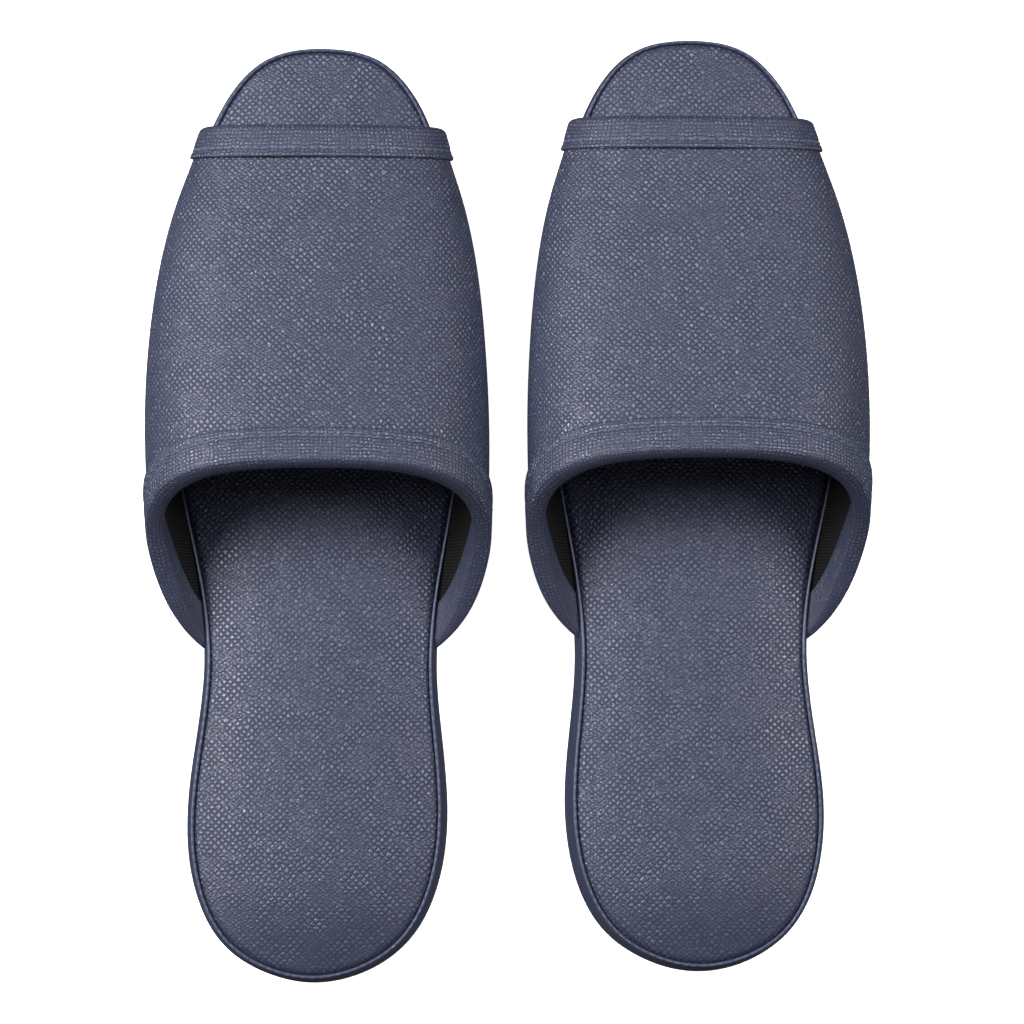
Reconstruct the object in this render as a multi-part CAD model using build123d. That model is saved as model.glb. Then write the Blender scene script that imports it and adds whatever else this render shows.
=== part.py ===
from build123d import *
import math
import os

# A pair of open-toed, backless indoor slippers in embossed vinyl.
# Millimetres. Z is up and the soles rest on Z = 0. Y runs from heel to toe.
# The left slipper is drawn about its own centre line, its inner (medial) side
# towards +X, and the right slipper is its mirror image.

# ---- the pair ----
HALF_SPACING = 56.25        # centre line of each slipper from the middle of the pair
RIGHT_LEAD = 3.2            # the right slipper stands this far ahead of the left

# ---- plan of one sole: (y, half width, centre line x) at its widest ----
PLAN = [
    (136.5, 17.0, 0.9),
    (127.0, 27.0, 0.8),
    (107.0, 36.2, 0.4),
    (80.0, 43.0, -0.2),
    (45.0, 45.8, -0.6),
    (0.0, 41.0, 0.2),
    (-45.0, 34.7, 0.9),
    (-86.0, 38.5, 0.2),
    (-111.0, 36.3, -0.3),
    (-128.5, 27.2, -0.6),
    (-137.2, 14.0, -0.7),
]
TOE_TIP = (140.0, 0.9)
HEEL_TIP = (-140.0, -0.7)

# ---- the side wall of the platform: (height, inset from the plan) ----
OUTSOLE_TOP = 2.6
WALL = [(OUTSOLE_TOP, 3.4), (5.5, 1.1), (11.0, 0.0), (19.0, 0.5), (32.0, 2.6)]

# ---- the height of the rim seam along the slipper: (y, z) ----
RIM = [(-150, 24.6), (-100, 24.4), (-60, 22.8), (-20, 20.0), (25, 18.2),
       (70, 17.6), (110, 17.8), (150, 19.0)]

# ---- sheet thicknesses ----
VINYL = 0.9
UPPER_VINYL = 1.0
UPPER_FOAM = 2.0
UPPER_KNIT = 0.8
BOARD = 1.2
BEAD_WIDTH = 1.9
BEAD_HEIGHT = 2.4
FLANGE = 12.0              # cover turned under the platform
OUTSOLE_INSET = 4.4
TREAD_DEPTH = 0.8
TREAD_WIDTH = 2.0
TREAD_PITCH = 8.0
TREAD_HALF_RUN = 120.0     # the ribs run this far towards the toe and the heel
TREAD_MARGIN = 7.0         # plain edge left round the ribs

# ---- the crowned insole: height of its surface above its edge ----
CROWN_EDGE = 2.5           # edge of the insole above the rim seam
CROWN_STEPS = [(0.0, 1.0), (0.45, 0.96), (0.8, 0.62), (1.0, 0.0)]
CROWN_SKIRT = (8.0, 1.5)   # the block's skirt: how far out and how far down it runs
CROWN_DEPTH = 16.0         # depth of the block below the insole's edge
CROWN = [                  # (y, half width, centre line x, rise)
    (146.0, 20.0, 0.9, 0.1),
    (122.0, 27.0, 0.7, 2.8),
    (98.0, 35.0, 0.3, 4.2),
    (68.0, 40.0, -0.4, 4.6),
    (34.0, 41.0, -0.4, 4.6),
    (0.0, 37.8, 0.2, 4.6),
    (-34.0, 32.8, 0.8, 4.6),
    (-68.0, 33.4, 0.6, 4.6),
    (-98.0, 34.4, 0.0, 4.2),
    (-122.0, 28.0, -0.5, 2.8),
    (-146.0, 20.0, -0.7, 0.1),
]

# ---- the upper: (y, half width at the sole, widest half width, its height,
#      height of the crest) ----
UPPER = [
    (-50.0, 34.4, 44.5, 42.0, 79.0),
    (-24.0, 36.4, 47.8, 42.0, 76.0),
    (0.0, 40.2, 49.6, 41.0, 71.5),
    (25.0, 43.4, 50.4, 37.0, 65.0),
    (50.0, 44.8, 49.4, 33.0, 57.5),
    (75.0, 42.8, 46.3, 29.5, 50.0),
    (92.0, 39.6, 42.3, 27.0, 45.0),
    (106.0, 35.6, 37.7, 25.5, 41.5),
    (122.0, 29.0, 33.0, 24.0, 38.0),
]
UPPER_SWAY = 0.6           # the upper leans to the inner side of the foot
FOOT_TUCK = 0.9            # share of the side's lean by which the section's foot tucks in
SIDE_RISE = 0.40           # the side's middle point: share of the height to the widest line
SIDE_SPREAD = 0.68         # and share of the lean
SHOULDER = (0.80, 0.66)    # shares of the half width and of the height above the widest line
BROW = (0.44, 0.935)
SIDE_PRESS = 0.95          # share of the inset that moves each point in, or (in, down)
SHOULDER_PRESS = (0.80, 0.62)
BROW_PRESS = (0.40, 0.92)
UPPER_FOOT = 6.0           # the upper's drawn section starts this far below the rim
SEAM_SQUEEZE = 0.55        # the layers are pressed to this share of their thickness there

# ---- the collar (foot opening) and the toe opening in side view: (y, z) ----
COLLAR = [(-48.5, 11.0), (-40.0, 21.5), (-30.5, 28.5), (-19.5, 35.0), (-8.5, 43.0),
          (0.5, 52.5), (7.5, 62.5), (12.0, 72.0), (14.5, 82.0)]
TOE_LINE = [(115.5, 5.0), (109.5, 52.0)]
BINDING_EDGE = 1.3         # binding beyond the raw edge it wraps
COLLAR_LIFT = 0.6          # share of that by which the collar's lip also rises
COLLAR_BAND = (8.0, -4.6)  # shift in (y, z) from the collar edge to the band's front
TOE_BAND = 8.6

# ---- thread ----
THREAD = 0.35              # radius of one stitch
STITCH = 2.4               # length of one stitch
STITCH_CLEAR = 4.5         # the rows stop this far above the rim seam
SUNK = 0.1                 # depth of a stitch's axis below the face it lies on
COLLAR_STITCH_SHIFT = (6.2, -3.5)
TOE_STITCH_BACK = 6.6
FAN_CENTRE_Z = 14.0        # stitches of the upper are spaced by angle about this height
COLLAR_FAN = 100.0         # half angle over which the collar's stitches are spaced
COLLAR_STITCHES = 60
TOE_FAN = 94.0
TOE_STITCHES = 34
RIM_STITCHES = 230         # round the whole rim, only those clear of the upper kept
RIM_CLEAR = (-45.0, 117.0)  # the upper covers the rim between these
BEAD_STEP = 0.3            # share of a stitch pitch over which the rim's direction is read
REACH = 90.0               # half width of the cutting solids
ROOF = 130.0               # height of the cutting solids
BROAD = 400.0              # side of the cutting boxes
BEYOND_TOE = 200.0         # the cutting solids end this far towards the toe
BEYOND_FLOOR = -20.0       # and this far below the floor

SLIPPER_NODES = {}


def ring_points(inset):
    """Points round the sole's plan, moved inwards by the inset."""
    medial = [(c + w, y) for y, w, c in PLAN]
    lateral = [(c - w, y) for y, w, c in reversed(PLAN)]
    ring = [(TOE_TIP[1], TOE_TIP[0])] + medial + [(HEEL_TIP[1], HEEL_TIP[0])] + lateral
    moved = []
    for i, (x, y) in enumerate(ring):
        x0, y0 = ring[i - 1]
        x1, y1 = ring[(i + 1) % len(ring)]
        before = math.hypot(x - x0, y - y0)
        after = math.hypot(x1 - x, y1 - y)
        tx = (x - x0) / before ** 2 + (x1 - x) / after ** 2
        ty = (y - y0) / before ** 2 + (y1 - y) / after ** 2
        run = math.hypot(tx, ty)
        moved.append((x + inset * ty / run, y - inset * tx / run))
    return moved


def plan_face(inset, z):
    """The sole's plan, inset, lying at height z."""
    ring = [Vector(x, y, z) for x, y in ring_points(inset)]
    return make_face(Spline(*ring, periodic=True))


def barrel(inset):
    """The platform's bulging side wall as a solid, inset all round."""
    return loft([plan_face(inset + step, z) for z, step in WALL])


def prism(inset, low, high):
    """A straight-sided slice of the sole's plan."""
    return extrude(plan_face(inset, low), amount=high - low)


def side_face(line, closing):
    """A face in the YZ plane from a smooth line closed by straight edges."""
    if len(line) > 2:
        curve = Spline(*line)
    else:
        curve = Line(*line)
    path = [line[-1]] + closing + [line[0]]
    return Plane.YZ * make_face(curve + Polyline(*path))


def side_block(line, closing):
    """A side-view face carried straight across the slipper."""
    return extrude(side_face(line, closing), amount=REACH, both=True)


def below_rim(rise):
    """Everything below the rim seam line raised by the given height."""
    line = [(y, z + rise) for y, z in RIM]
    return side_block(line, [(RIM[-1][0], BEYOND_FLOOR), (RIM[0][0], BEYOND_FLOOR)])


def toe_side_of_collar(shift=(0.0, 0.0)):
    """Everything in front of the collar line, shifted in side view."""
    line = [(y + shift[0], z + shift[1]) for y, z in COLLAR]
    return side_block(line, [(line[-1][0], ROOF), (BEYOND_TOE, ROOF), (BEYOND_TOE, line[0][1])])


def beyond_toe_line(shift):
    """Everything in front of the leaning toe-opening line, shifted along Y."""
    (y0, z0), (y1, z1) = TOE_LINE
    lean = math.degrees(math.atan2(y0 - y1, z1 - z0))
    block = Box(BROAD, BROAD, BROAD, align=(Align.CENTER, Align.MIN, Align.CENTER))
    return Pos(0, y0 + shift, z0) * Rot(lean, 0, 0) * block


def read_line(table, key, at=0, give=1):
    """Read one value of a table of rows at a key, straight between its rows."""
    rows = sorted(table)
    if at:
        rows = sorted(table, key=lambda row: row[at])
    for low, high in zip(rows, rows[1:]):
        if low[at] <= key <= high[at]:
            share = (key - low[at]) / (high[at] - low[at])
            return low[give] + share * (high[give] - low[give])
    return rows[-1][give] if key > rows[-1][at] else rows[0][give]


def smooth_rows(table, count=120):
    """The smooth line through a table's points as closely spaced rows."""
    line = Spline(*table)
    rows = [line.position_at(i / count) for i in range(count + 1)]
    return [(p.X, p.Y) for p in rows]


RIM_ROWS = smooth_rows(RIM)
COLLAR_ROWS = smooth_rows(COLLAR)


def rim_height(y):
    """Height of the rim seam at y."""
    return read_line(RIM_ROWS, y)


def crown_section(y, half, centre, rise):
    """One cross-section of the crowned insole block."""
    edge = rim_height(y) + CROWN_EDGE
    right = [(centre + half * s, edge + rise * h) for s, h in CROWN_STEPS[::-1]]
    left = [(centre - half * s, edge + rise * h) for s, h in CROWN_STEPS[1:]]
    out, down = CROWN_SKIRT
    outer_right = (centre + half + out, edge - down)
    outer_left = (centre - half - out, edge - down)
    top = Spline(outer_right, *right, *left, outer_left)
    floor = edge - CROWN_DEPTH
    foot = Polyline(outer_left, (outer_left[0], floor), (outer_right[0], floor), outer_right)
    return Plane.XZ.offset(-y) * make_face(top + foot)


def crown_block(drop):
    """The insole's crowned top as the roof of a block, lowered by the drop."""
    solid = loft([crown_section(*row) for row in CROWN])
    return Pos(0, 0, -drop) * solid


def upper_section(row, inset):
    """One cross-section of the upper, inset by the given depth."""
    y, foot, widest, widest_z, crest = row
    rim = rim_height(y)
    lean = widest - foot
    pressed = SEAM_SQUEEZE * inset
    side_x = foot + SIDE_SPREAD * lean - SIDE_PRESS * inset
    side_z = rim + SIDE_RISE * (widest_z - rim)
    shoulder_x = SHOULDER[0] * widest - SHOULDER_PRESS[0] * inset
    shoulder_z = widest_z + SHOULDER[1] * (crest - widest_z) - SHOULDER_PRESS[1] * inset
    brow_x = BROW[0] * widest - BROW_PRESS[0] * inset
    brow_z = widest_z + BROW[1] * (crest - widest_z) - BROW_PRESS[1] * inset
    half = [                       # (distance out, height, share of the sway)
        (foot - FOOT_TUCK * lean - pressed, rim - UPPER_FOOT, 0.0),
        (foot - pressed, rim, 0.0),
        (side_x, side_z, 0.7),
        (widest - inset, widest_z, 1.0),
        (shoulder_x, shoulder_z, 1.0),
        (brow_x, brow_z, 1.0),
    ]
    middle = read_line(PLAN, y, 0, 2)
    right = [(middle + UPPER_SWAY * sway + x, z) for x, z, sway in half]
    left = [(middle + UPPER_SWAY * sway - x, z) for x, z, sway in reversed(half)]
    arch = Spline(*right, (middle + UPPER_SWAY, crest - inset), *left)
    return Plane.XZ.offset(-y) * make_face(arch + Line(left[-1], right[0]))


def upper_block(inset):
    """The whole upper as a solid tunnel block, inset by the given depth."""
    return loft([upper_section(row, inset) for row in UPPER])


def one(shape):
    """The single largest solid of a shape."""
    return max(shape.solids(), key=lambda s: s.volume)


def on_upper(skin, y_of_z, angle):
    """The point and normal where a line on the upper meets one fan angle."""
    turn = math.radians(angle)
    y = 0.0
    for _ in range(6):
        ray = Axis((0, y, FAN_CENTRE_Z), (math.sin(turn), 0, math.cos(turn)))
        hits = skin.find_intersection_points(ray)
        if not hits:
            return None
        point, normal = max(hits, key=lambda hit: (hit[0] - ray.position).length)
        y = y_of_z(point.Z)
    return point, normal


def stitch(point, before, after, normal):
    """One short thread lying along the line from before to after."""
    run = (after - before).normalized()
    place = Plane(origin=point - normal * SUNK, x_dir=normal, z_dir=run)
    return place * Cylinder(THREAD, STITCH)


def fan(half_angle, count):
    """Even angles from one side of the upper to the other."""
    return [half_angle * (2.0 * i / count - 1.0) for i in range(count + 1)]


def stitch_row(skin, y_of_z, angles):
    """A row of stitches on the upper, one to each fan angle."""
    spots = [on_upper(skin, y_of_z, a) for a in angles]
    spots = [s for s in spots if s and s[0].Z > rim_height(s[0].Y) + STITCH_CLEAR]
    row = []
    for i, (point, normal) in enumerate(spots):
        before = spots[max(i - 1, 0)][0]
        after = spots[min(i + 1, len(spots) - 1)][0]
        row.append(stitch(point, before, after, normal))
    return Compound(children=row)


def add(name, shape):
    """Keep one named piece of the left slipper."""
    SLIPPER_NODES[name] = shape


# ---- the platform ----
wall_outer = barrel(0.0)
wall_inner = barrel(VINYL)
bead_inner = barrel(BEAD_WIDTH)
under_rim = below_rim(0.0)
under_bead = below_rim(BEAD_HEIGHT)
under_board = below_rim(BOARD)

outsole = prism(OUTSOLE_INSET, 0.0, OUTSOLE_TOP)
grooves = []
tread_rows = int(2 * TREAD_HALF_RUN / TREAD_PITCH)
for i in range(tread_rows + 1):
    y = -TREAD_HALF_RUN + i * TREAD_PITCH
    groove = Box(REACH, TREAD_WIDTH, TREAD_DEPTH, align=(Align.CENTER, Align.CENTER, Align.MIN))
    grooves.append(Pos(0, y, 0) * groove)
tread_zone = prism(OUTSOLE_INSET + TREAD_MARGIN, 0.0, TREAD_DEPTH)
outsole = outsole - [tread_zone & g for g in grooves]
add("outsole", one(outsole))

skin = (wall_outer - wall_inner) & under_rim
bead = ((wall_outer - bead_inner) & under_bead) - under_rim
flange_top = OUTSOLE_TOP + VINYL
turn_under = Box(BROAD, BROAD, VINYL, align=(Align.CENTER, Align.CENTER, Align.MIN))
turn_under = Pos(0, 0, OUTSOLE_TOP) * turn_under
plug = prism(WALL[0][1] + FLANGE, OUTSOLE_TOP, flange_top)
flange = (wall_inner & turn_under) - plug
platform_cover = skin + bead + flange
add("platform_cover", one(platform_cover))

platform_core = (wall_inner & under_rim) - flange
add("platform_core", one(platform_core))

# ---- the insole ----
insole_board = (bead_inner & under_board) - under_rim
add("insole_board", one(insole_board))
crown_under = crown_block(VINYL)
cushion = (bead_inner & crown_under) - under_board
add("insole_cushion", one(cushion))
insole_cover = ((bead_inner & crown_block(0.0)) - crown_under) - under_board
add("insole_cover", one(insole_cover))

# ---- the upper: vinyl, foam and knit lining, one inside the next ----
toe_end = beyond_toe_line(0.0)
foot_end = toe_side_of_collar()
depths = [0.0, UPPER_VINYL, UPPER_VINYL + UPPER_FOAM, UPPER_VINYL + UPPER_FOAM + UPPER_KNIT]
blocks = [upper_block(d) for d in depths]
for name, outer, inner in zip(["upper_vinyl", "upper_foam", "upper_lining"], blocks, blocks[1:]):
    trimmed = ((outer - under_bead) & foot_end) - toe_end
    add(name, one(trimmed - inner))

# ---- the bindings: each wraps the raw edge of the three layers ----
skin_out = upper_block(-VINYL)
skin_in = upper_block(depths[-1] + VINYL)
tunnel = skin_out - under_bead
sandwich = (((blocks[0] - under_bead) & foot_end) - toe_end) - blocks[-1]

collar_back = toe_side_of_collar((-BINDING_EDGE, COLLAR_LIFT * BINDING_EDGE))
collar_front = toe_side_of_collar(COLLAR_BAND)
collar_binding = (((tunnel & collar_back) - collar_front) - skin_in) - sandwich
add("collar_binding", one(collar_binding))

toe_band = (tunnel - beyond_toe_line(BINDING_EDGE)) & beyond_toe_line(-TOE_BAND)
toe_binding = (toe_band - skin_in) - sandwich
add("toe_binding", one(toe_binding))

# ---- thread ----
def collar_stitch_y(z):
    """Where the collar's stitch line lies at height z."""
    return read_line(COLLAR_ROWS, z - COLLAR_STITCH_SHIFT[1], 1, 0) + COLLAR_STITCH_SHIFT[0]


def toe_stitch_y(z):
    """Where the toe band's stitch line lies at height z."""
    return read_line(TOE_LINE, z, 1, 0) - TOE_STITCH_BACK


add("collar_stitches", stitch_row(skin_out, collar_stitch_y, fan(COLLAR_FAN, COLLAR_STITCHES)))
add("toe_stitches", stitch_row(skin_out, toe_stitch_y, fan(TOE_FAN, TOE_STITCHES)))

plan_line = Spline(*[Vector(x, y, 0) for x, y in ring_points(0.0)], periodic=True)


def on_bead(turn):
    """A point along the middle of the rim bead's top."""
    share = (turn / RIM_STITCHES) % 1.0
    edge = plan_line.position_at(share)
    run = plan_line.tangent_at(share)
    top = rim_height(edge.Y) + BEAD_HEIGHT
    inset = read_line(WALL, top) + BEAD_WIDTH / 2
    x, y = edge.X + inset * run.Y, edge.Y - inset * run.X
    return Vector(x, y, rim_height(y) + BEAD_HEIGHT)


rim_row = []
for i in range(RIM_STITCHES):
    point = on_bead(i)
    if not RIM_CLEAR[0] < point.Y < RIM_CLEAR[1]:
        before = on_bead(i - BEAD_STEP)
        after = on_bead(i + BEAD_STEP)
        rim_row.append(stitch(point, before, after, Vector(0, 0, 1)))
add("rim_stitches", Compound(children=rim_row))

# ---- place both slippers and write one file per piece ----
os.makedirs("parts", exist_ok=True)
for name, shape in SLIPPER_NODES.items():
    left = Pos(-HALF_SPACING, -RIGHT_LEAD / 2, 0) * shape
    right = Pos(HALF_SPACING, RIGHT_LEAD / 2, 0) * mirror(shape, about=Plane.YZ)
    export_step(left, f"parts/left_{name}.step")
    export_step(right, f"parts/right_{name}.step")
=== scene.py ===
import math

import bmesh
import bpy
import numpy as np
from mathutils import Matrix, Vector


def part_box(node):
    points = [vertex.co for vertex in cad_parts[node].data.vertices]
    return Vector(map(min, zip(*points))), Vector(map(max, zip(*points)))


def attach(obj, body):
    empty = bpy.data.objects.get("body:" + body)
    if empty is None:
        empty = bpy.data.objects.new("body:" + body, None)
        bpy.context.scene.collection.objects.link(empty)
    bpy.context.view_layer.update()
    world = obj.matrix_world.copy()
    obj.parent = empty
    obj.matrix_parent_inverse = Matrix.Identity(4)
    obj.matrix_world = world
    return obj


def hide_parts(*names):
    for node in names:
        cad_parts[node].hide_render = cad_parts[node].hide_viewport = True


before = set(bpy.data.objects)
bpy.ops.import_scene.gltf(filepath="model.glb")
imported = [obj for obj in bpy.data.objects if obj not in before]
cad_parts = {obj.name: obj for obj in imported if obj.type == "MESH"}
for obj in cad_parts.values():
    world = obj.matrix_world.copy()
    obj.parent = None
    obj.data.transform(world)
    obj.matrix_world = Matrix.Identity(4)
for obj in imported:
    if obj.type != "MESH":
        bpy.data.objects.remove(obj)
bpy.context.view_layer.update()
SIDES = ("left", "right")
MM = 0.001
FULL_TURN = 6.28

# ---------------------------------------------------------------- camera
CAM_HEIGHT = 1.0
CAM_BACK = 0.075           # towards the heels
CAM_RIGHT = 0.030          # from the left slipper's middle
LENS = 116.0
AIM = (0.0018, -0.0013, 0.012)


def centre_of(node):
    """The middle of a CAD node's box."""
    low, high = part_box(node)
    return (low + high) / 2


scene = bpy.context.scene
cam_data = bpy.data.cameras.new("camera")
cam_data.lens = LENS
cam = bpy.data.objects.new("camera", cam_data)
scene.collection.objects.link(cam)
cam.location = (centre_of("left_outsole").x + CAM_RIGHT, -CAM_BACK, CAM_HEIGHT)
backwards = (cam.location - Vector(AIM)).normalized()
sideways = Vector((0, 1, 0)).cross(backwards).normalized()
upwards = backwards.cross(sideways)
cam.rotation_euler = Matrix((sideways, upwards, backwards)).transposed().to_euler()
scene.camera = cam

# ---------------------------------------------------------------- shape tables, mm
# as in the CAD: x across (the inner side of the left foot is +x), y to the toes, z up
# PLAN: y, half width, middle x
PLAN = np.array([
    (136.5, 17.0, 0.9), (127.0, 27.0, 0.8), (107.0, 36.2, 0.4), (80.0, 43.0, -0.2),
    (45.0, 45.8, -0.6), (0.0, 41.0, 0.2), (-45.0, 34.7, 0.9), (-86.0, 38.5, 0.2),
    (-111.0, 36.3, -0.3), (-128.5, 27.2, -0.6), (-137.2, 14.0, -0.7)])
TOE_TIP = (140.0, 0.9)
HEEL_TIP = (-140.0, -0.7)
OUT_TOP = 2.6              # top of the rubber outsole
# WALL: z, inset of the side wall from the plan
WALL = np.array([(2.6, 3.4), (5.5, 1.1), (11.0, 0.0), (19.0, 0.5), (32.0, 2.6)])
# RIM: y, height of the seam round the insole
RIM = np.array([(-150, 24.6), (-100, 24.4), (-60, 22.8), (-20, 20.0), (25, 18.2),
                (70, 17.6), (110, 17.8), (150, 19.0)])
# UPPER: y, half width at the seam, greatest half width, its height, height of the crest
UPPER = np.array([
    (-50.0, 34.4, 44.5, 42.0, 79.0), (-24.0, 36.4, 47.8, 42.0, 76.0),
    (0.0, 40.2, 49.6, 41.0, 71.5), (25.0, 43.4, 50.4, 37.0, 65.0),
    (50.0, 44.8, 49.4, 33.0, 57.5), (75.0, 42.8, 46.3, 29.5, 50.0),
    (92.0, 39.6, 42.3, 27.0, 45.0), (106.0, 35.6, 37.7, 25.5, 41.5),
    (122.0, 29.0, 33.0, 24.0, 38.0)])
UPPER_SWAY = 0.6           # the upper leans to the inner side of the foot
FOOT_TUCK = 0.9            # share of the side's lean by which the section's foot tucks in
SIDE_RISE = 0.40           # the side's middle point: share of the height to the widest line
SIDE_SPREAD = 0.68         # and share of the lean
SHOULDER = (0.80, 0.66)    # shares of the half width and of the height above the widest line
BROW = (0.44, 0.935)
SIDE_PRESS = 0.95          # share of the inset that moves each point in, or (in, down)
SHOULDER_PRESS = (0.80, 0.62)
BROW_PRESS = (0.40, 0.92)
UPPER_FOOT = 6.0           # the section starts this far below the rim
SEAM_SQUEEZE = 0.55        # the layers are pressed to this share of their thickness there
# COLLAR: y and z of the foot opening's edge in side view
COLLAR = np.array([(-48.5, 11.0), (-40.0, 21.5), (-30.5, 28.5), (-19.5, 35.0), (-8.5, 43.0),
                   (0.5, 52.5), (7.5, 62.5), (12.0, 72.0), (14.5, 82.0)])
TOE_LINE = ((115.5, 5.0), (109.5, 52.0))   # y and z of the toe opening's edge in side view
RING_WRAP = 6              # points repeated past each end, so that the closed outline is smooth
HEADING_STEP = 0.2         # the outline's direction is read this far either way
COLLAR_SEARCH = (-49.0, 60.0)
COLLAR_HALVINGS = 26
TOE_ROUNDS = 8


def spline_weights(knots, at):
    """Natural cubic spline weights: row i gives the value at at[i] from the knot values."""
    knots = np.asarray(knots, float)
    at = np.clip(np.asarray(at, float), knots[0], knots[-1])
    n = len(knots)
    gap = np.diff(knots)
    left = np.zeros((n, n))
    right = np.zeros((n, n))
    left[0, 0] = left[-1, -1] = 1.0
    for i in range(1, n - 1):
        left[i, i - 1] = gap[i - 1]
        left[i, i] = 2 * (gap[i - 1] + gap[i])
        left[i, i + 1] = gap[i]
        right[i, i - 1] = 6 / gap[i - 1]
        right[i, i] = -6 / gap[i - 1] - 6 / gap[i]
        right[i, i + 1] = 6 / gap[i]
    bend = np.linalg.solve(left, right)
    k = np.clip(np.searchsorted(knots, at, side="right") - 1, 0, n - 2)
    h = gap[k]
    a = (knots[k + 1] - at) / h
    b = (at - knots[k]) / h
    out = ((a ** 3 - a) * h ** 2 / 6)[..., None] * bend[k]
    out = out + ((b ** 3 - b) * h ** 2 / 6)[..., None] * bend[k + 1]
    eye = np.eye(n)
    return out + a[..., None] * eye[k] + b[..., None] * eye[k + 1]


def smooth(table, column, at):
    """A table's column read smoothly at the given keys (its first column)."""
    rows = table[np.argsort(table[:, 0])]
    return spline_weights(rows[:, 0], at) @ rows[:, column]


def rim_z(y):
    """Height of the rim seam at y."""
    return smooth(RIM, 1, y)


def wall_inset(z):
    """How far in from the plan outline the side wall lies at height z."""
    return smooth(WALL, 1, z)


# ---------------------------------------------------------------- plan outline
def plan_ring(count):
    """Points and inward normals round the sole: toe tip, medial side, heel tip, lateral side."""
    medial = [(c + w, y) for y, w, c in PLAN]
    lateral = [(c - w, y) for y, w, c in PLAN[::-1]]
    ring = np.array([(TOE_TIP[1], TOE_TIP[0])] + medial + [(HEEL_TIP[1], HEEL_TIP[0])] + lateral)
    n = len(ring)
    wrapped = np.vstack([ring[-RING_WRAP:], ring, ring[:RING_WRAP + 1]])
    step = np.hypot(*np.diff(wrapped, axis=0).T)
    knots = np.concatenate([[0], np.cumsum(step)])
    toe, heel, end = knots[RING_WRAP], knots[RING_WRAP + n // 2], knots[RING_WRAP + n]
    half = count // 2
    share = np.linspace(0, 1, half + 1)
    at = np.concatenate([toe + (heel - toe) * share[:-1], heel + (end - heel) * share[:-1]])
    points = spline_weights(knots, at) @ wrapped
    ahead = spline_weights(knots, at + HEADING_STEP) @ wrapped
    behind = spline_weights(knots, at - HEADING_STEP) @ wrapped
    run = ahead - behind
    run /= np.linalg.norm(run, axis=1)[:, None]
    inward = np.stack([run[:, 1], -run[:, 0]], 1)
    return points, inward


# ---------------------------------------------------------------- upper surface
def section_points(y, inset):
    """The 13 points of the upper's cross-section at each y, for an inset depth."""
    y, inset = np.broadcast_arrays(np.asarray(y, float), np.asarray(inset, float))
    foot, widest, widest_z, crest = (smooth(UPPER, k, y) for k in (1, 2, 3, 4))
    rim = rim_z(y)
    middle = smooth(PLAN, 2, y)
    lean = widest - foot
    pressed = SEAM_SQUEEZE * inset
    shoulder = widest_z + SHOULDER[1] * (crest - widest_z)
    brow = widest_z + BROW[1] * (crest - widest_z)
    half = [
        (foot - FOOT_TUCK * lean - pressed, rim - UPPER_FOOT, 0.0),
        (foot - pressed, rim, 0.0),
        (foot + SIDE_SPREAD * lean - SIDE_PRESS * inset, rim + SIDE_RISE * (widest_z - rim), 0.7),
        (widest - inset, widest_z, 1.0),
        (SHOULDER[0] * widest - SHOULDER_PRESS[0] * inset, shoulder - SHOULDER_PRESS[1] * inset, 1.0),
        (BROW[0] * widest - BROW_PRESS[0] * inset, brow - BROW_PRESS[1] * inset, 1.0),
    ]
    points = [(middle + UPPER_SWAY * s + x, z) for x, z, s in half]
    points.append((middle + UPPER_SWAY, crest - inset))
    points += [(middle + UPPER_SWAY * s - x, z) for x, z, s in reversed(half)]
    return np.stack([np.stack(p, -1) for p in points], -2)


def section_knots():
    """The share of the girth at which each of a middle section's points lies."""
    p = section_points(np.array(30.0), np.array(0.0))
    step = np.hypot(*np.diff(p, axis=0).T)
    knots = np.concatenate([[0], np.cumsum(step)])
    return knots / knots[-1]


KNOTS = section_knots()
U_FOOT = KNOTS[1]


def upper_at(u, y, inset=0.0):
    """Points on the upper at share u round the section and length y, inset from the face."""
    u, y, inset = np.broadcast_arrays(*(np.asarray(v, float) for v in (u, y, inset)))
    weights = spline_weights(KNOTS, u)
    xz = np.einsum("...k,...kc->...c", weights, section_points(y, inset))
    return np.stack([xz[..., 0], y, xz[..., 1]], -1)


COLLAR_Z = np.linspace(COLLAR[0, 1], COLLAR[-1, 1], 400)
COLLAR_Y = spline_weights(COLLAR[:, 1], COLLAR_Z) @ COLLAR[:, 0]


def collar_y(u, shift=(0.0, 0.0), inset=0.0):
    """Where the collar line, shifted in side view, crosses each share u of the upper."""
    low = np.full(np.shape(u), COLLAR_SEARCH[0])
    high = np.full(np.shape(u), COLLAR_SEARCH[1])
    for _ in range(COLLAR_HALVINGS):
        mid = (low + high) / 2
        z = upper_at(u, mid, inset)[..., 2]
        line = np.interp(z - shift[1], COLLAR_Z, COLLAR_Y) + shift[0]
        ahead = mid > line
        high = np.where(ahead, mid, high)
        low = np.where(ahead, low, mid)
    return (low + high) / 2


def toe_y(u, back=0.0, inset=0.0):
    """Where the toe-opening line, moved back, crosses each share u of the upper."""
    (y0, z0), (y1, z1) = TOE_LINE
    y = np.full(np.shape(u), y1) - back
    for _ in range(TOE_ROUNDS):
        z = upper_at(u, y, inset)[..., 2]
        y = y0 + (y1 - y0) * (z - z0) / (z1 - z0) - back
    return y


# ---------------------------------------------------------------- mesh helpers
WAVES_EACH = 6             # waves added up in each octave
FINER, FAINTER = 1.7, 1.6  # how each octave compares with the one before


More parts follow.
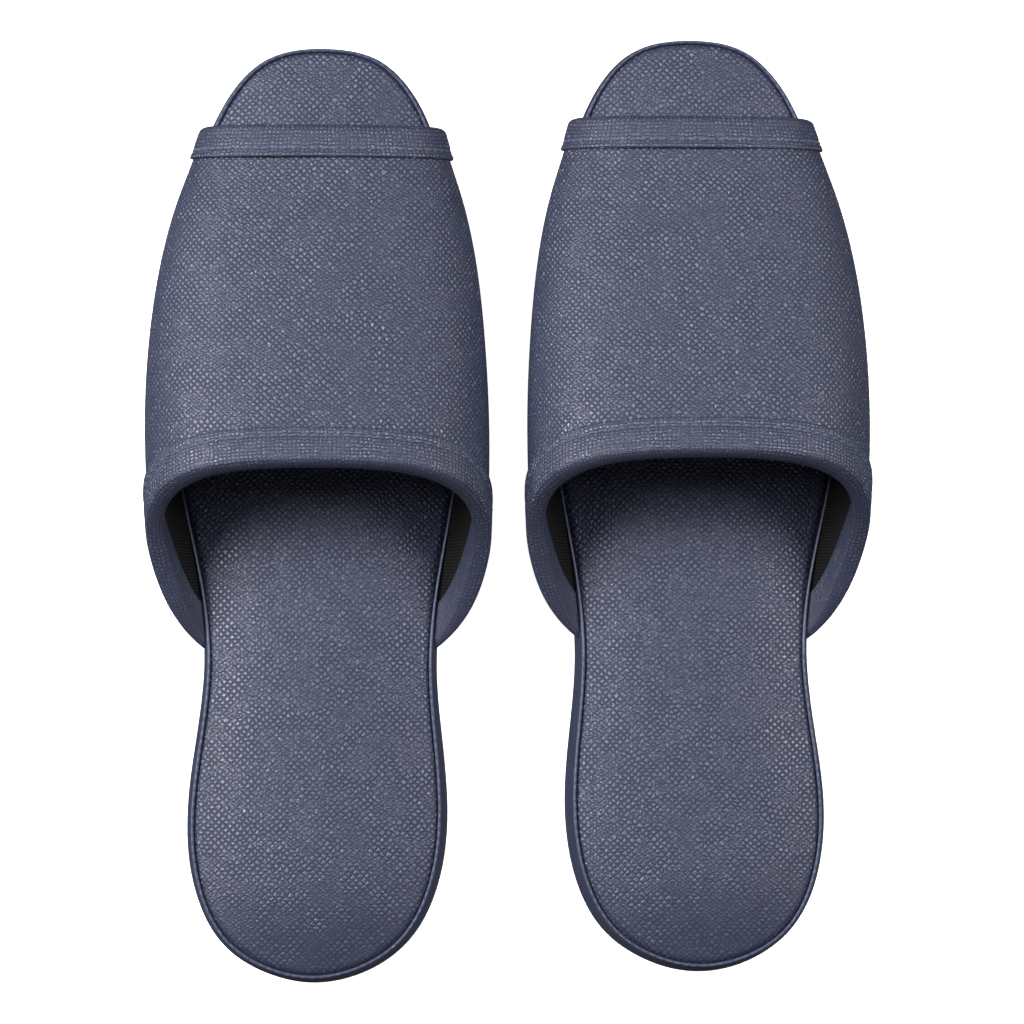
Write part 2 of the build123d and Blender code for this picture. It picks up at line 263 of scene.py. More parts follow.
def waves(points, seed, size, octaves=3):
    """Soft seeded unevenness from -1 to 1 for points in mm, with features of that size."""
    rng = np.random.default_rng(seed)
    total = np.zeros(points.shape[:-1])
    for octave in range(octaves):
        for _ in range(WAVES_EACH):
            way = rng.normal(size=3)
            way *= 2 * math.pi / (size / FINER ** octave) / np.linalg.norm(way)
            wave = np.sin(points @ way + rng.uniform(0, FULL_TURN))
            total += wave / FAINTER ** octave / WAVES_EACH
    return total


def turned(faces):
    """The same faces, wound the other way."""
    return [f[::-1] for f in faces]


class Slipper:
    """Places the left slipper's own millimetres in the shared frame, for one side."""

    def __init__(self, side):
        self.side = side
        self.flip = -1.0 if side == "right" else 1.0
        self.body = f"{side}_slipper"
        low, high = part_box(f"{side}_platform_cover")
        widest = min(c - w for _, w, c in PLAN), max(c + w for _, w, c in PLAN)
        local_mid = sum(widest) / 2 * MM
        mid_x, mid_y = (low.x + high.x) / 2, (low.y + high.y) / 2
        self.shift = np.array([mid_x - self.flip * local_mid, mid_y, 0.0])

    def place(self, points):
        """Metres in the shared frame for points of the left slipper; the right one is mirrored."""
        world = np.asarray(points, float) * MM
        world = world * np.array([self.flip, 1.0, 1.0])
        return world + self.shift

    def grain_shift(self):
        """Moves the right slipper's grain along, so that the two aren't mirror images."""
        return GRAIN_APART * (self.flip < 0)

    def mesh(self, name, points, faces, uvs, material, replaces, slot):
        """One smooth piece that rides this slipper's body and stands for its CAD pieces."""
        data = bpy.data.meshes.new(f"{self.side}_{name}")
        if self.flip < 0:
            faces = turned(faces)
        data.from_pydata(self.place(points).tolist(), [], [list(map(int, f)) for f in faces])
        layer = data.uv_layers.new(name="UVMap")
        loops = np.zeros(len(data.loops), int)
        data.loops.foreach_get("vertex_index", loops)
        layer.data.foreach_set("uv", np.asarray(uvs)[loops].astype(np.float32).ravel())
        data.materials.append(material)
        data.polygons.foreach_set("use_smooth", np.full(len(data.polygons), True))
        data.update()
        obj = bpy.data.objects.new(f"{self.side}_{name}", data)
        scene.collection.objects.link(obj)
        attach(obj, self.body)
        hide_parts(*[f"{self.side}_{n}" for n in replaces])
        return obj


def ring_faces(rows, loop, closed_rows):
    """Quads over rows x loop vertices, closed round the loop; ends capped if rows are open."""
    faces = []
    count = rows if closed_rows else rows - 1
    for i in range(count):
        a, b = i * loop, ((i + 1) % rows) * loop
        for j in range(loop):
            k = (j + 1) % loop
            faces.append((a + j, b + j, b + k, a + k))
    if not closed_rows:
        last = (rows - 1) * loop
        caps = [(j, j + 1, loop - 2 - j, loop - 1 - j) for j in range(loop // 2 - 1)]
        faces += caps
        faces += turned([tuple(last + spot for spot in cap) for cap in caps])
    return faces


def ring_uv(points, across):
    """UVs in mm for rows x loop points: along the rows by length, and the given across values."""
    middle = points.mean(1)
    step = np.linalg.norm(np.diff(middle, axis=0), axis=1)
    along = np.concatenate([[0], np.cumsum(step)])
    return np.stack(np.broadcast_arrays(along[:, None], across[None, :]), -1).reshape(-1, 2)


# ---------------------------------------------------------------- materials
# every pattern is read from UVs in mm, so that it has its real size
LATTICE_PITCH = 1.5        # of the embossed pillows
TAPE_PITCH = 1.2
EMBOSSING = 0.00032        # depth of the relief, m
UNEVEN = 0.38              # how far the pillows stray from an even lattice
RIB_PITCH = 0.95           # of the knit
GRAIN_APART = 300.0        # the right slipper's grain is read this far from the left's


class Nodes:
    """A short way to wire node materials."""

    def __init__(self, name):
        self.mat = bpy.data.materials.new(name)
        self.mat.use_nodes = True
        self.tree = self.mat.node_tree
        self.tree.nodes.clear()
        self.out = self.tree.nodes.new("ShaderNodeOutputMaterial")
        self.shader = self.tree.nodes.new("ShaderNodeBsdfPrincipled")
        self.link(self.shader.outputs[0], self.out.inputs[0])

    def node(self, kind, inputs=(), **props):
        """A new node, with each input linked to a socket or set to a value."""
        n = self.tree.nodes.new(kind)
        for key, value in props.items():
            setattr(n, key, value)
        for key, value in dict(inputs).items():
            socket = n.inputs[key]
            if isinstance(value, bpy.types.NodeSocket):
                self.link(value, socket)
            else:
                socket.default_value = value
        return n

    def link(self, a, b):
        self.tree.links.new(a, b)

    def math(self, op, a, b=0.0):
        """The result of a Math node."""
        return self.node("ShaderNodeMath", {0: a, 1: b}, operation=op).outputs[0]

    def remap(self, value, a, b, c, d):
        """The value, eased from the range a to b into the range c to d."""
        inputs = {"Value": value, "From Min": a, "From Max": b, "To Min": c, "To Max": d}
        return self.node("ShaderNodeMapRange", inputs, interpolation_type="SMOOTHSTEP").outputs[0]

    def mix(self, factor, a, b):
        """Colour a blended into colour b by the factor."""
        n = self.node("ShaderNodeMix", data_type="RGBA")
        for key, value in ((0, factor), (6, a), (7, b)):
            if isinstance(value, bpy.types.NodeSocket):
                self.link(value, n.inputs[key])
            else:
                n.inputs[key].default_value = value if key == 0 else (*value, 1.0)
        return n.outputs[2]

    def noise(self, coords, scale, detail=3.0):
        """The value of a Noise texture."""
        inputs = {"Vector": coords, "Scale": scale, "Detail": detail}
        return self.node("ShaderNodeTexNoise", inputs).outputs[0]


def grain_material(name, turn, pitch=LATTICE_PITCH, deep=1.0, smooth_past=None):
    """Coated vinyl embossed with an uneven lattice of small pillows, turned by so many degrees.

    smooth_past is (from, to, share, share): the relief changes between those places along the piece.
    """
    # colours of the painted shade in the valleys and of the painted highlight on the pillow tops
    shaded_valley, top = (0.006, 0.009, 0.032), (0.120, 0.134, 0.205)
    m = Nodes(name)
    uv = m.node("ShaderNodeUVMap", uv_map="UVMap").outputs[0]
    wobble = m.node("ShaderNodeTexNoise", {"Vector": uv, "Scale": 0.25, "Detail": 2.0})
    middle = {0: wobble.outputs[1], 1: (0.5, 0.5, 0.5)}
    shove = m.node("ShaderNodeVectorMath", middle, operation="SUBTRACT").outputs[0]
    push = m.node("ShaderNodeVectorMath", {0: shove, "Scale": 1.2}, operation="SCALE").outputs[0]
    bent = m.node("ShaderNodeVectorMath", {0: uv, 1: push}, operation="ADD").outputs[0]

    def lattice(across, along, unevenness, feature):
        inputs = {"Vector": bent, "Rotation": (0, 0, math.radians(turn)),
                  "Scale": (1 / across, 1 / along, 1.0)}
        spot = m.node("ShaderNodeMapping", inputs, vector_type="POINT").outputs[0]
        inputs = {"Vector": spot, "Scale": 1.0, "Randomness": unevenness}
        return m.node("ShaderNodeTexVoronoi", inputs, voronoi_dimensions="2D",
                      feature=feature).outputs

    each = m.node("ShaderNodeSeparateColor", {0: lattice(pitch, pitch, UNEVEN, "F1")["Color"]})
    edge = lattice(pitch, pitch, UNEVEN, "DISTANCE_TO_EDGE")["Distance"]
    pillow = m.remap(edge, 0.05, 0.33, 0.0, 1.0)
    pillow = m.math("MULTIPLY", pillow, m.remap(each.outputs[0], 0.0, 1.0, 0.48, 1.0))
    # in patches the pillows shrink to small slanting dashes
    edge = lattice(pitch * 0.85, pitch * 0.55, 0.5, "DISTANCE_TO_EDGE")["Distance"]
    bar = m.remap(edge, 0.04, 0.30, 0.0, 0.62)
    where = m.remap(m.noise(uv, 0.12, 3.0), 0.44, 0.62, 0.0, 0.65)
    whole = m.math("MULTIPLY", pillow, m.math("SUBTRACT", 1.0, where))
    lift = m.math("ADD", whole, m.math("MULTIPLY", bar, where))
    # the embossing is fainter in broad patches, and past the place given
    fade = m.remap(m.noise(uv, 0.055, 2.0), 0.30, 0.70, 0.75, 1.0)
    if smooth_past:
        along = m.node("ShaderNodeSeparateXYZ", {0: uv}).outputs[1]
        fade = m.math("MULTIPLY", fade, m.remap(along, *smooth_past))
    shown = m.math("MULTIPLY", lift, fade)
    height = m.math("ADD", shown, m.math("MULTIPLY", m.noise(uv, 2.6, 4.0), 0.12))
    bump = m.node("ShaderNodeBump", {"Height": height, "Strength": deep, "Distance": EMBOSSING})
    # painted highlight on the raised tops and painted shade in the valleys; the tops are also smoother
    # than the valleys
    highlight_share = m.math("MULTIPLY", shown, m.remap(m.noise(uv, 0.9, 3.0), 0.35, 0.7, 0.6, 1.0))
    m.link(m.mix(highlight_share, shaded_valley, top), m.shader.inputs["Base Color"])
    smooth_top = m.remap(each.outputs[2], 0.0, 1.0, 0.42, 0.32)
    dull = m.remap(shown, 0.0, 0.45, 0.30, 0.0)
    m.link(m.math("ADD", smooth_top, dull), m.shader.inputs["Roughness"])
    m.link(bump.outputs[0], m.shader.inputs["Normal"])
    m.shader.inputs["Specular IOR Level"].default_value = 0.62
    return m.mat


def plain_vinyl(name):
    """Smooth vinyl, puckered on the ridge where it is pinched into the seam, with a painted highlight
    along that ridge.
    """
    # the vinyl's own colour, and the colour of the painted highlight on the ridge
    colour, ridge_highlight_colour = (0.021, 0.026, 0.053), (0.066, 0.076, 0.130)
    m = Nodes(name)
    uv = m.node("ShaderNodeUVMap", uv_map="UVMap").outputs[0]
    patch = m.remap(m.noise(uv, 0.12, 3.0), 0.3, 0.7, 0.0, 1.0)
    skin = m.mix(patch, colour, tuple(c * 1.25 for c in colour))
    across = m.node("ShaderNodeSeparateXYZ", {0: uv}).outputs[1]
    pinch_and_highlight_band = m.math("MULTIPLY", m.remap(across, 1.2, 1.8, 0.0, 1.0),
                     m.remap(across, 2.6, 3.3, 1.0, 0.0))
    # painted highlight along the pinched ridge, broken up by noise
    ridge_highlight_share = m.math("MULTIPLY", pinch_and_highlight_band, m.remap(m.noise(uv, 0.8, 4.0), 0.35, 0.65, 0.35, 1.0))
    m.link(m.mix(ridge_highlight_share, skin, ridge_highlight_colour), m.shader.inputs["Base Color"])
    height = m.math("ADD", m.noise(uv, 0.8, 4.0), m.math("MULTIPLY", m.noise(uv, 3.5, 3.0), 0.3))
    height = m.math("MULTIPLY", height, m.math("ADD", m.math("MULTIPLY", pinch_and_highlight_band, 2.0), 1.0))
    bump = m.node("ShaderNodeBump", {"Height": height, "Strength": 0.35, "Distance": 0.0002})
    m.link(bump.outputs[0], m.shader.inputs["Normal"])
    m.shader.inputs["Roughness"].default_value = 0.48
    return m.mat


def knit_material(name):
    """Black brushed knit with fine ribs along the slipper."""
    m = Nodes(name)
    uv = m.node("ShaderNodeUVMap", uv_map="UVMap").outputs[0]
    parts = m.node("ShaderNodeSeparateXYZ", {0: uv})
    ribs = m.math("SINE", m.math("MULTIPLY", parts.outputs[1], 2 * math.pi / RIB_PITCH))
    fuzz = m.noise(uv, 3.0, 5.0)
    colour = m.mix(m.remap(ribs, -1.0, 1.0, 0.0, 1.0), (0.002, 0.002, 0.002), (0.010, 0.009, 0.009))
    m.link(colour, m.shader.inputs["Base Color"])
    height = m.math("ADD", m.math("MULTIPLY", ribs, 0.5), fuzz)
    bump = m.node("ShaderNodeBump", {"Height": height, "Strength": 0.6, "Distance": 0.0003})
    m.link(bump.outputs[0], m.shader.inputs["Normal"])
    m.shader.inputs["Roughness"].default_value = 0.95
    m.shader.inputs["Sheen Weight"].default_value = 0.04
    m.shader.inputs["Specular IOR Level"].default_value = 0.1
    return m.mat


def thread_material(name, colour):
    """Twisted sewing thread."""
    m = Nodes(name)
    uv = m.node("ShaderNodeUVMap", uv_map="UVMap").outputs[0]
    parts = m.node("ShaderNodeSeparateXYZ", {0: uv})
    slant = m.math("ADD", parts.outputs[0], parts.outputs[1])
    twist = m.math("SINE", m.math("MULTIPLY", slant, 9.0))
    m.link(m.mix(m.remap(twist, -1.0, 1.0, 0.0, 1.0), tuple(c * 0.7 for c in colour), colour),
           m.shader.inputs["Base Color"])
    bump = m.node("ShaderNodeBump", {"Height": twist, "Strength": 0.4, "Distance": 0.0001})
    m.link(bump.outputs[0], m.shader.inputs["Normal"])
    m.shader.inputs["Roughness"].default_value = 0.6
    return m.mat


def rubber_material(name):
    """Dull speckled rubber."""
    m = Nodes(name)
    where = m.node("ShaderNodeTexCoord").outputs["Object"]
    speck = m.noise(where, 900.0, 3.0)
    colour = m.mix(speck, (0.012, 0.013, 0.018), (0.022, 0.024, 0.032))
    m.link(colour, m.shader.inputs["Base Color"])
    bump = m.node("ShaderNodeBump", {"Height": speck, "Strength": 0.3, "Distance": 0.0002})
    m.link(bump.outputs[0], m.shader.inputs["Normal"])
    m.shader.inputs["Roughness"].default_value = 0.75
    return m.mat


UPPER_GRAIN = grain_material("upper_vinyl", 45.0)
INSOLE_GRAIN = grain_material("insole_vinyl", 45.0, smooth_past=(-132.0, -95.0, 0.45, 1.0))
TAPE_GRAIN = grain_material("binding_vinyl", 0.0, pitch=TAPE_PITCH, deep=0.9,
                            smooth_past=(11.5, 14.5, 1.0, 0.45))
WALL_VINYL = plain_vinyl("platform_vinyl")
KNIT = knit_material("knit_lining")
THREAD = thread_material("thread", (0.085, 0.105, 0.185))
RIM_THREAD = thread_material("rim_thread", (0.045, 0.058, 0.11))
RUBBER = rubber_material("outsole_rubber")

# ---------------------------------------------------------------- the sole, mm
RING = 420                 # points round the sole
# the pinched ridge from the groove beside the insole outwards: inset from the seam, rise above it
RIDGE = ((1.8, 0.2), (1.6, 0.95), (1.42, 1.65), (1.15, 2.15), (0.8, 2.2), (0.48, 1.75), (0.22, 1.0))
WALL_TOP = 0.97            # the wall's rows start at this share of its height
WALL_ROWS = 14
WRAP_THICK = 1.6
UNDER_THICK = 0.9
PUFFED = slice(8, 20)      # the rows of the wall that swell unevenly
PUFF = 0.25
SOCK_EDGE = 1.62           # inset of the insole's edge from the seam
SOCK_UNDER = 0.35          # its underside above the rim
SPINE = (0.9, 0.76)        # the insole's rings close on this share of its middle line, in x and y
RINGS = np.concatenate([[0, 0.006, 0.014, 0.025, 0.04], np.linspace(0.06, 1.0, 40)])
BATCH = 4000               # points measured at a time


def seam_inset(y):
    """How far in from the plan outline the seam round the insole lies."""
    return wall_inset(rim_z(y) + 1.5)


def lengths_across(loop):
    """The mean distance from the loop's first point to each of its points, for rows of loops."""
    steps = np.linalg.norm(np.diff(loop, axis=1), axis=2).mean(0)
    return np.concatenate([[0], np.cumsum(steps)])


def build_platform(s):
    """The vinyl wrap: pinched ridge, bulging wall and the flange turned under the foam."""
    ring, inward = plan_ring(RING)
    base_y = ring[:, 1]
    rim = rim_z(base_y)
    rows = []
    # from the groove beside the insole, over the pinched ridge, down the wall and under
    seam = seam_inset(base_y)
    for inset, rise in RIDGE:
        rows.append((seam + inset, rim + rise))
    for share in np.linspace(WALL_TOP, 0.0, WALL_ROWS):
        z = OUT_TOP + (rim - OUT_TOP) * share
        rows.append((wall_inset(z) + (0.0 if share < 0.9 else 0.12), z))
    for inset, rise in ((4.6, 0.02), (9.0, 0.0), (15.0, 0.0), (15.0, UNDER_THICK), (8.0, UNDER_THICK)):
        rows.append((np.full(RING, inset), np.full(RING, OUT_TOP + rise)))
    for share in np.linspace(0.1, 0.9, 5):
        z = OUT_TOP + (rim - OUT_TOP) * share
        rows.append((wall_inset(z) + WRAP_THICK, z))
    rows.append((seam + 1.8, rim - 1.0))
    loop = np.stack([np.concatenate([ring + inward * inset[:, None], z[:, None]], 1)
                     for inset, z in rows], 1)
    across = lengths_across(loop)
    puff = waves(loop.reshape(-1, 3), 5 + int(s.flip), 60.0).reshape(loop.shape[:2])
    loop[:, PUFFED, :2] -= inward[:, None, :] * puff[:, PUFFED, None] * PUFF
    faces = ring_faces(RING, loop.shape[1], True)
    s.mesh("platform_wrap", loop.reshape(-1, 3), faces, ring_uv(loop, across), WALL_VINYL,
           ("platform_cover", "platform_core"), "platform_vinyl")


def crown(depth):
    """Height of the insole above the rim seam, by distance in from its edge."""
    edge = 1.1 * (1 - np.exp(-(depth / 0.8) ** 1.5))
    dome = 5.0 * (1 - np.exp(-(depth / 14.0) ** 1.4))
    return 1.3 + edge + dome


def weld(obj):
    """Join the points that meet along the spine of a mesh, and split its quads soundly."""
    bm = bmesh.new()
    bm.from_mesh(obj.data)
    bmesh.ops.remove_doubles(bm, verts=bm.verts, dist=1e-6)
    bmesh.ops.dissolve_degenerate(bm, edges=bm.edges, dist=1e-7)
    bmesh.ops.triangulate(bm, faces=bm.faces, quad_method="BEAUTY", ngon_method="BEAUTY")
    bm.to_mesh(obj.data)
    bm.free()


def build_insole(s):
    """The crowned sock with its cushion: rings that close on a spine, above and below."""
    ring, inward = plan_ring(RING)
    edge = ring + inward * (seam_inset(ring[:, 1]) + SOCK_EDGE)[:, None]
    mirror_of = (RING - np.arange(RING)) % RING
    y_pair = (edge[:, 1] + edge[mirror_of, 1]) / 2
    x_pair = (edge[:, 0] + edge[mirror_of, 0]) / 2
    spine = np.stack([x_pair * SPINE[0], y_pair * SPINE[1]], 1)
    share = RINGS[:, None, None]
    flat = (edge[None] * (1 - share) + spine[None] * share).reshape(-1, 2)
    gap = np.concatenate([np.linalg.norm(flat[start:start + BATCH, None] - edge[None], axis=2).min(1)
                          for start in range(0, len(flat), BATCH)])
    gap[:RING] = 0.0
    top = np.concatenate([flat, (rim_z(flat[:, 1]) + crown(gap))[:, None]], 1)
    top[:, 2] += waves(top, 21 + int(s.flip), 55.0) * 0.30 * np.clip(gap / 12.0, 0, 1)
    low = top.copy()
    low[:, 2] = rim_z(flat[:, 1]) + SOCK_UNDER
    under = len(top)
    faces = []
    for i in range(len(RINGS) - 1):
        a, b = i * RING, (i + 1) * RING
        for j in range(RING):
            k = (j + 1) % RING
            faces.append((b + j, b + k, a + k, a + j))
            faces.append((under + a + j, under + a + k, under + b + k, under + b + j))
    for j in range(RING):
        k = (j + 1) % RING
        faces.append((k, under + k, under + j, j))
    points = np.vstack([top, low])
    uv = points[:, :2].copy()
    uv[:, 0] += s.grain_shift()
    obj = s.mesh("insole_pad", points, faces, uv, INSOLE_GRAIN,
                 ("insole_cover", "insole_cushion", "insole_board"), "insole_vinyl")
    weld(obj)


# ---------------------------------------------------------------- the upper, mm
U_GRID = np.linspace(U_FOOT - 0.006, 1 - U_FOOT + 0.006, 181)
RAW_COLLAR = (0.8, -0.5)   # the raw edges lie this far inside the tapes' lines, in (y, z)
RAW_TOE = 0.8
LUMPS = 0.45               # height of the upper's soft unevenness


def upper_patch(v, inset, seed):
    """A grid of points over the upper between the raw edges of its two openings."""
    u = U_GRID
    y0 = collar_y(u, RAW_COLLAR, inset)
    y1 = toe_y(u, RAW_TOE, inset)
    y = y0[:, None] + (y1 - y0)[:, None] * v[None]
    points = upper_at(u[:, None], y, inset)
    edge = np.minimum(u - u[0], u[-1] - u)[:, None] / 0.1
    points[..., 2] += waves(points, seed, 62.0) * LUMPS * np.clip(edge, 0, 1)
    return points


def upper_uv(points):
    """UVs in mm: girth from the crest, and length along the crest."""
    step = np.linalg.norm(np.diff(points, axis=0), axis=2)
    girth = np.concatenate([np.zeros((1, points.shape[1])), np.cumsum(step, 0)])
    girth -= girth[len(girth) // 2]
    run = np.linalg.norm(np.diff(points, axis=1), axis=2)
    length = np.concatenate([np.zeros((points.shape[0], 1)), np.cumsum(run, 1)], 1)
    length -= length[:, -1:]
    return np.stack([girth, length], -1)


def build_shell(s, name, face, back, rows, material, replaces, slot):
    """One layer of the upper between two insets, the face and the back."""
    v = np.linspace(0, 1, rows)
    seed = 40 + int(s.flip)
    top = upper_patch(v, face, seed)
    under = upper_patch(v, back, seed)
    loop = np.concatenate([top, under[:, ::-1]], 1)
    uv_top = upper_uv(top)
    uv = np.concatenate([uv_top, uv_top[:, ::-1]], 1).reshape(-1, 2)
    uv[:, 0] += s.grain_shift()
    faces = turned(ring_faces(len(U_GRID), loop.shape[1], False))
    return s.mesh(name, loop.reshape(-1, 3), faces, uv, material, replaces, slot)


# ---------------------------------------------------------------- tapes and threads, mm
# The outer leaf's free edge, from the edge in: distance from it, inset. The dip is the stitch line.
LEAF_EDGE = ((0.0, -0.15), (0.05, -0.75), (0.45, -1.15), (1.1, -1.2),
             (1.9, -1.05), (2.6, -0.8), (3.3, -1.05), (4.3, -1.2))
LEAF_FACE = -1.2           # insets of the tape's faces: outer leaf, inner leaf, and their backs
INNER_FACE = 4.4
INNER_BACK = 3.6
LEAF_BACK = 0.15
FOLD_START = 0.6           # the leaves reach this close to the line that the tape folds over
FOLD_STEPS = 13
PUCKER = 0.10
COLLAR_WAY = (0.866, -0.5)
SECTION_MIDDLE = 1.8       # inset of the middle of the upper's layers


def band_points(u, spots, place):
    """Rows of a binding: each spot is (distance from the edge, inset); place gives the y."""
    return np.stack([upper_at(u, place(u, run, inset), inset) for run, inset in spots], 1)


def binding(s, name, count_u, place, width_out, width_in, lip, replaces, seed):
    """A folded tape over the raw edge: outer leaf, rolled lip and inner leaf."""
    u = np.linspace(U_FOOT - 0.012, 1 - U_FOOT + 0.012, count_u)
    outer = [(width_out - edge, inset) for edge, inset in LEAF_EDGE]
    outer += [(r, LEAF_FACE) for r in np.linspace(width_out - 5.4, FOLD_START, 5)]
    inner = [(r, INNER_FACE) for r in np.linspace(FOLD_START, width_in - 1.0, 6)]
    inner += [(width_in - 0.3, 4.3), (width_in, 4.0), (width_in, INNER_BACK)]
    back = [(r, INNER_BACK) for r in np.linspace(width_in - 1.0, 1.0, 4)]
    fore = [(r, LEAF_BACK) for r in np.linspace(1.0, width_out - 1.0, 5)]
    a = band_points(u, outer, place)
    b = band_points(u, inner, place)
    c = band_points(u, back + fore, place)
    p, q = a[:, -1], b[:, 0]
    mid = (p + q) / 2
    spots = band_points(u, [(3.0, SECTION_MIDDLE), (FOLD_START, SECTION_MIDDLE)], place)
    inward = spots[:, 0] - spots[:, 1]
    inward /= np.linalg.norm(inward, axis=1)[:, None]
    turn = np.linspace(0, math.pi, FOLD_STEPS)[1:-1]
    arc = [mid + (p - mid) * math.cos(t) - inward * lip * math.sin(t) ** 0.8 for t in turn]
    loop = np.concatenate([a, np.stack(arc, 1), b, c], 1)
    loop[..., 2] += waves(loop, seed, 9.0, 2) * PUCKER
    rows, count = loop.shape[:2]
    faces = []
    for i in range(rows - 1):
        for j in range(count):
            k = (j + 1) % count
            faces.append((i * count + j, (i + 1) * count + j, (i + 1) * count + k, i * count + k))
    faces.append(tuple(range(count)))
    faces.append(tuple((rows - 1) * count + j for j in range(count))[::-1])
    if place is toe_place:  # its leaves run back from the edge, so the loop turns the other way
        faces = turned(faces)
    uv = ring_uv(loop, lengths_across(loop))
    s.mesh(name, loop.reshape(-1, 3), faces, uv, TAPE_GRAIN, replaces, "binding_vinyl")


def collar_place(u, run, inset):
    """The y at the given distance in front of the foot opening's edge."""
    return collar_y(u, (COLLAR_WAY[0] * run, COLLAR_WAY[1] * run), inset)


def toe_place(u, run, inset):
    """The y at the given distance behind the toe opening's edge."""
    return toe_y(u, run, inset)


STATIONS = 7               # rings along one thread
THREAD_LIFT, THREAD_BOW = 0.16, 0.42
THREAD_TILT = 0.05         # how unevenly the threads lie, radians
LINE_POINTS = 900
TAPE_STITCH_INSET = -0.82
RIM_POINTS = 1600
RIM_STITCH = (0.98, 2.13)  # inset from the seam and rise above the rim
RIM_PITCH = 2.6
RIM_BARE = (-46.0, 112.0)  # the upper covers the rim between these


def threads(s, name, points, normals, material, replaces, length, radius=0.30, sides=8):
    """Short rounded threads along a row of points, each bowed up from its two needle holes."""
    verts, faces, uvs = [], [], []
    rng = np.random.default_rng(len(points))
    for i, (p, n) in enumerate(zip(points, normals)):
        run = points[min(i + 1, len(points) - 1)] - points[max(i - 1, 0)]
        run = run / np.linalg.norm(run)
        side = np.cross(n, run)
        side /= np.linalg.norm(side)
        up = np.cross(run, side)
        tilt = rng.normal(0, THREAD_TILT)
        run = run * math.cos(tilt) + side * math.sin(tilt)
        side = np.cross(up, run)
        base = len(verts)
        for k in range(STATIONS):
            t = k / (STATIONS - 1) * 2 - 1
            r = radius * math.sqrt(max(0.05, 1 - abs(t) ** 4))
            centre = p + run * (t * length / 2) + up * (THREAD_LIFT - THREAD_BOW * t * t)
            for j in range(sides):
                a = 2 * math.pi * j / sides
                verts.append(centre + side * (r * math.cos(a)) + up * (r * math.sin(a)))
                uvs.append((t * length / 2 + i * 3.1, a * radius))
        for k in range(STATIONS - 1):
            for j in range(sides):
                q = (j + 1) % sides
                faces.append((base + k * sides + j, base + k * sides + q,
                              base + (k + 1) * sides + q, base + (k + 1) * sides + j))
        faces.append(tuple(base + j for j in range(sides))[::-1])
        faces.append(tuple(base + (STATIONS - 1) * sides + j for j in range(sides)))
    s.mesh(name, np.array(verts), faces, np.array(uvs), material, replaces, "thread")


def even_spots(line, pitch):
    """Points at an even pitch along a dense line."""
    step = np.linalg.norm(np.diff(line, axis=0), axis=1)
    run = np.concatenate([[0], np.cumsum(step)])
    at = np.arange(pitch / 2, run[-1], pitch)
    return np.stack([np.interp(at, run, line[:, k]) for k in range(3)], 1)


def stitch_row(s, name, place, run, pitch, replaces):
    """One row of threads through a tape, at the given distance from its edge."""
    u = np.linspace(U_FOOT + 0.03, 1 - U_FOOT - 0.03, LINE_POINTS)
    inset = TAPE_STITCH_INSET
    y = place(u, run, inset)
    line = upper_at(u, y, inset)
    out = upper_at(u, y, inset - 1.0) - line
    spots = even_spots(line, pitch)
    near = np.array([np.linalg.norm(line - p, axis=1).argmin() for p in spots])
    normals = out[near] / np.linalg.norm(out[near], axis=1)[:, None]
    threads(s, name, spots, normals, THREAD, replaces, pitch * 0.8)


def build_rim_stitches(s):
    """Fine threads along the pinched ridge, where the upper doesn't cover it."""
    ring, inward = plan_ring(RIM_POINTS)
    y = ring[:, 1]
    inset = seam_inset(y) + RIM_STITCH[0]
    line = np.concatenate([ring + inward * inset[:, None], (rim_z(y) + RIM_STITCH[1])[:, None]], 1)
    order = np.roll(np.arange(RIM_POINTS), RIM_POINTS // 2)
    toe = line[order][(y > RIM_BARE[1])[order]]
    heel = line[y < RIM_BARE[0]]
    points = np.vstack([even_spots(part, RIM_PITCH) for part in (toe, heel)])
    ups = np.tile((0.0, 0.0, 1.0), (len(points), 1))
    threads(s, "rim_thread", points, ups, RIM_THREAD, ("rim_stitches",), 1.9, 0.2, 6)


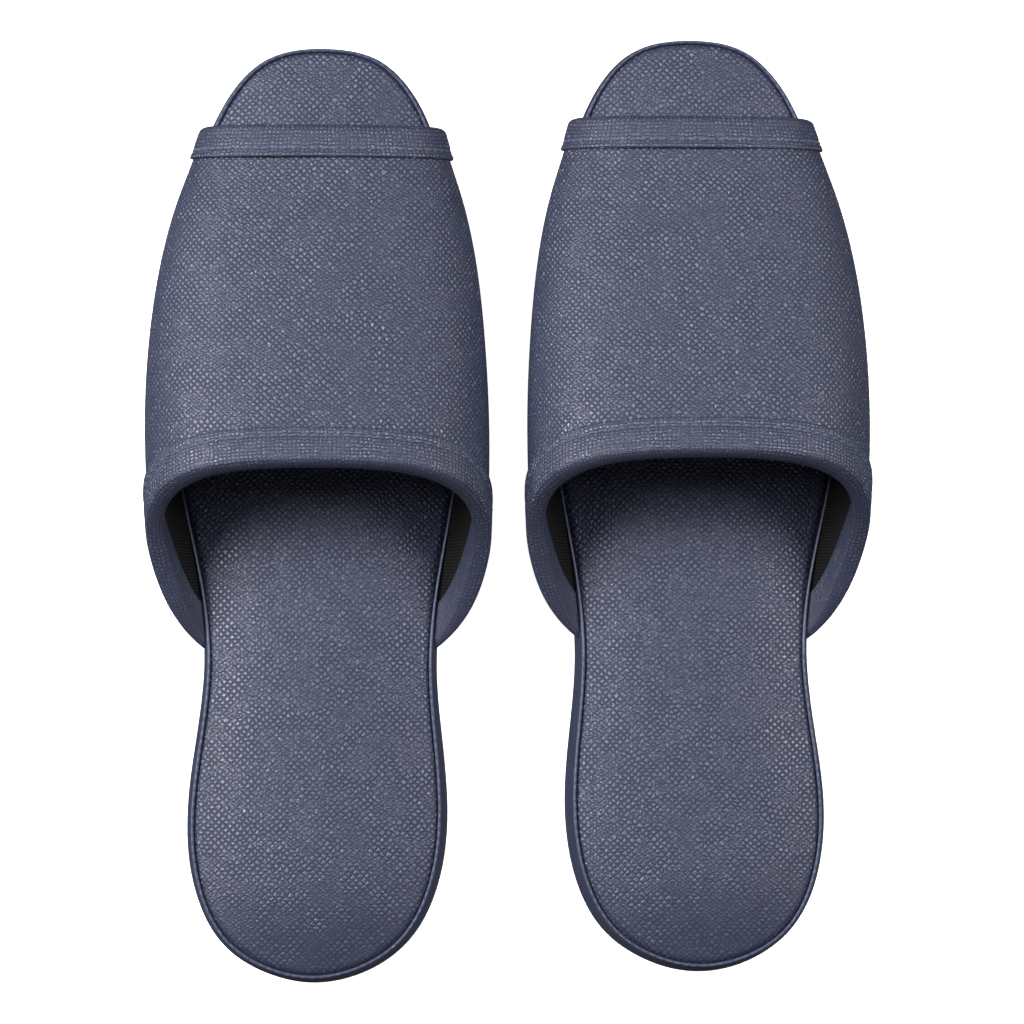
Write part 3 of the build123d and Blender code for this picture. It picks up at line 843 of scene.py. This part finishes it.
def build(side):
    """All the visible pieces of one slipper."""
    s = Slipper(side)
    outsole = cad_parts[f"{side}_outsole"].data
    outsole.materials.clear()
    outsole.materials.append(RUBBER)
    build_platform(s)
    build_insole(s)
    shell = build_shell(s, "upper_shell", 0.0, 1.7, 150, UPPER_GRAIN,
                        ("upper_vinyl", "upper_foam"), "upper_vinyl")
    build_shell(s, "upper_knit", 1.9, 3.8, 90, KNIT, ("upper_lining",), "knit_lining")
    binding(s, "collar_tape", 321, collar_place, 9.6, 8.2, 1.7, ("collar_binding",), 60)
    binding(s, "toe_tape", 221, toe_place, 8.6, 7.6, 2.0, ("toe_binding",), 61)
    stitch_row(s, "collar_thread", collar_place, 7.0, 3.0, ("collar_stitches",))
    stitch_row(s, "toe_thread", toe_place, 6.0, 2.9, ("toe_stitches",))
    build_rim_stitches(s)


for side in SIDES:
    build(side)

# ---------------------------------------------------------------- floor and light
FLOOR = 3                  # half its side, m
floor_data = bpy.data.meshes.new("floor")
corners = [(-FLOOR, -FLOOR, 0), (FLOOR, -FLOOR, 0), (FLOOR, FLOOR, 0), (-FLOOR, FLOOR, 0)]
floor_data.from_pydata(corners, [], [(0, 1, 2, 3)])
floor = bpy.data.objects.new("floor", floor_data)
scene.collection.objects.link(floor)
pale = Nodes("floor_pale")
pale.shader.inputs["Base Color"].default_value = (0.93, 0.93, 0.93, 1)
pale.shader.inputs["Roughness"].default_value = 0.9
pale.shader.inputs["Emission Color"].default_value = (1, 1, 1, 1)
pale.shader.inputs["Emission Strength"].default_value = 0.95
floor_data.materials.append(pale.mat)
# the slippers don't reflect it: they stand as if cut out from darker surroundings
floor.visible_diffuse = False
floor.visible_glossy = False

world = bpy.data.worlds.new("studio")
scene.world = world
world.use_nodes = True
sky = world.node_tree.nodes["Background"]
sky.inputs["Color"].default_value = (1.0, 1.0, 1.0, 1.0)
sky.inputs["Strength"].default_value = 0.08


def softbox(name, place, aim, size, power):
    """A rectangular studio light at a place, turned to what it aims at."""
    data = bpy.data.lights.new(name, "AREA")
    data.shape = "RECTANGLE"
    data.size, data.size_y = size
    data.energy = power
    lamp = bpy.data.objects.new(name, data)
    scene.collection.objects.link(lamp)
    lamp.location = place
    lamp.rotation_euler = (Vector(aim) - Vector(place)).to_track_quat("-Z", "Y").to_euler()


softbox("left_box", (-1.10, 0.35, 0.92), (0, 0, 0), (0.6, 0.9), 40)
softbox("right_box", (1.20, 0.35, 1.05), (0, 0, 0), (0.6, 0.9), 25)
softbox("top_box", (0.0, 0.9, 1.6), (0, 0, 0), (1.2, 0.6), 5)
softbox("heel_fill", (0.0, -1.6, 0.55), (0, 0, 0.03), (1.4, 0.5), 3)
scene.view_settings.view_transform = "Standard"
